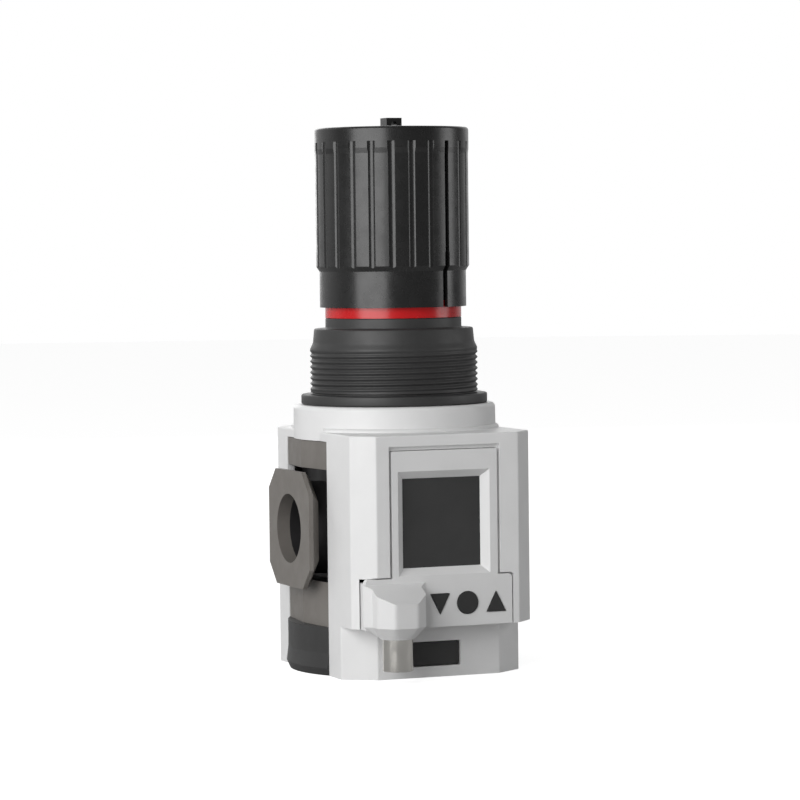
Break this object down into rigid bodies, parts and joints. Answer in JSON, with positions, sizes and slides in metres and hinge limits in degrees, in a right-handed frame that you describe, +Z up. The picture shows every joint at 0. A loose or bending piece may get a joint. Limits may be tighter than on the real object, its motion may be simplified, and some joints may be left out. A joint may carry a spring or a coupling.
{
  "type": "pneumatic regulator",
  "caption": "In-line air pressure regulator with threaded ports, locking hand knob, threaded collar and a digital pressure sensor with display and keys.",
  "frame": {"origin": "on the knob's axis, at the flat underside that the regulator stands on", "axes": "+Z up along the knob's axis, -Y out of the sensor's face, -X out of the inlet port and +X out of the outlet port"},
  "size_m": [0.062, 0.0763, 0.1489],
  "materials": {
    "casting": "satin brown-grey paint on die-cast metal",
    "black_plastic": "fine-grained moulded plastic",
    "bonnet_plastic": "matte glass-filled plastic",
    "knob_plastic": "gloss moulded plastic",
    "red_plastic": "gloss moulded plastic",
    "hood_plastic": "light grey satin moulded plastic",
    "sensor_plastic": "light grey satin moulded plastic",
    "display_window": "smoked clear pane",
    "display": "dark display face",
    "board": "green board",
    "key_rubber": "dark grey silicone rubber",
    "rubber": "black nitrile rubber",
    "brass": "machined",
    "spring_steel": "zinc-plated steel",
    "aluminium": "turned",
    "white_plastic": "low-friction plastic",
    "nickel": "nickel-plated, polished",
    "contact_metal": "gold-plated contacts"
  },
  "bodies": {
    "root": {"body_casting": "casting", "base_plug": "black_plastic", "plug_oring": "rubber", "valve_seat": "brass", "valve_spring": "spring_steel", "diaphragm": "rubber", "bonnet": "bonnet_plastic", "indicator_ring": "red_plastic", "thrust_washer": "white_plastic", "hood": "hood_plastic", "sensor_housing": "sensor_plastic", "display_window": "display_window", "display_module": "display", "circuit_board": "board", "key_domes": "spring_steel", "sensor_back": "black_plastic", "pressure_cell": "aluminium", "cell_oring": "rubber", "sensor_screws": "spring_steel", "connector_shell": "nickel", "connector_insert": "black_plastic", "connector_pins": "contact_metal"},
    "spindle": {"adjusting_screw": "spring_steel", "circlip": "spring_steel"},
    "knob": {"knob": "knob_plastic", "knob_cap": "knob_plastic"},
    "lock_tab": {"lock_tab": "knob_plastic"},
    "spring_nut": {"spring_nut": "brass"},
    "diaphragm_stack": {"lower_plate": "aluminium", "upper_plate": "aluminium", "main_spring": "spring_steel"},
    "poppet": {"valve_poppet": "brass", "poppet_seal": "rubber"},
    "key_down": {"key_down": "key_rubber"},
    "key_select": {"key_select": "key_rubber"},
    "key_up": {"key_up": "key_rubber"}
  },
  "joints": [
    {"name": "knob_turn", "type": "hinge", "parent": "root", "child": "spindle", "pos_m": [0, 0, 0.114], "axis": [0, 0, 1], "range_deg": [-1080, 720]},
    {"name": "knob_lock", "type": "slide", "parent": "spindle", "child": "knob", "axis": [0, 0, 1], "range_m": [-0.0038, 0]},
    {"name": "tab_pull", "type": "slide", "parent": "knob", "child": "lock_tab", "axis": [0, 0, 1], "range_m": [0, 0.004]},
    {"name": "nut_travel", "type": "slide", "parent": "root", "child": "spring_nut", "axis": [0, 0, 1], "range_m": [-0.00452, 0.00302], "deforming": ["main_spring"]},
    {"name": "diaphragm_travel", "type": "slide", "parent": "root", "child": "diaphragm_stack", "axis": [0, 0, 1], "range_m": [-0.0016, 0], "stiffness_N_per_m": 5000, "deforming": ["main_spring", "diaphragm"]},
    {"name": "poppet_travel", "type": "slide", "parent": "root", "child": "poppet", "axis": [0, 0, 1], "range_m": [-0.0016, 0], "stiffness_N_per_m": 3000, "deforming": ["valve_spring"]},
    {"name": "key_down_press", "type": "slide", "parent": "root", "child": "key_down", "axis": [0, 1, 0], "range_m": [0, 0.0005], "stiffness_N_per_m": 400},
    {"name": "key_select_press", "type": "slide", "parent": "root", "child": "key_select", "axis": [0, 1, 0], "range_m": [0, 0.0005], "stiffness_N_per_m": 400},
    {"name": "key_up_press", "type": "slide", "parent": "root", "child": "key_up", "axis": [0, 1, 0], "range_m": [0, 0.0005], "stiffness_N_per_m": 400}
  ],
  "couplings": [
    {"joint": "nut_travel", "follows": "knob_turn", "m_per_rad": 0.00023873},
    {"joint": "poppet_travel", "follows": "diaphragm_travel", "ratio": 1}
  ]
}
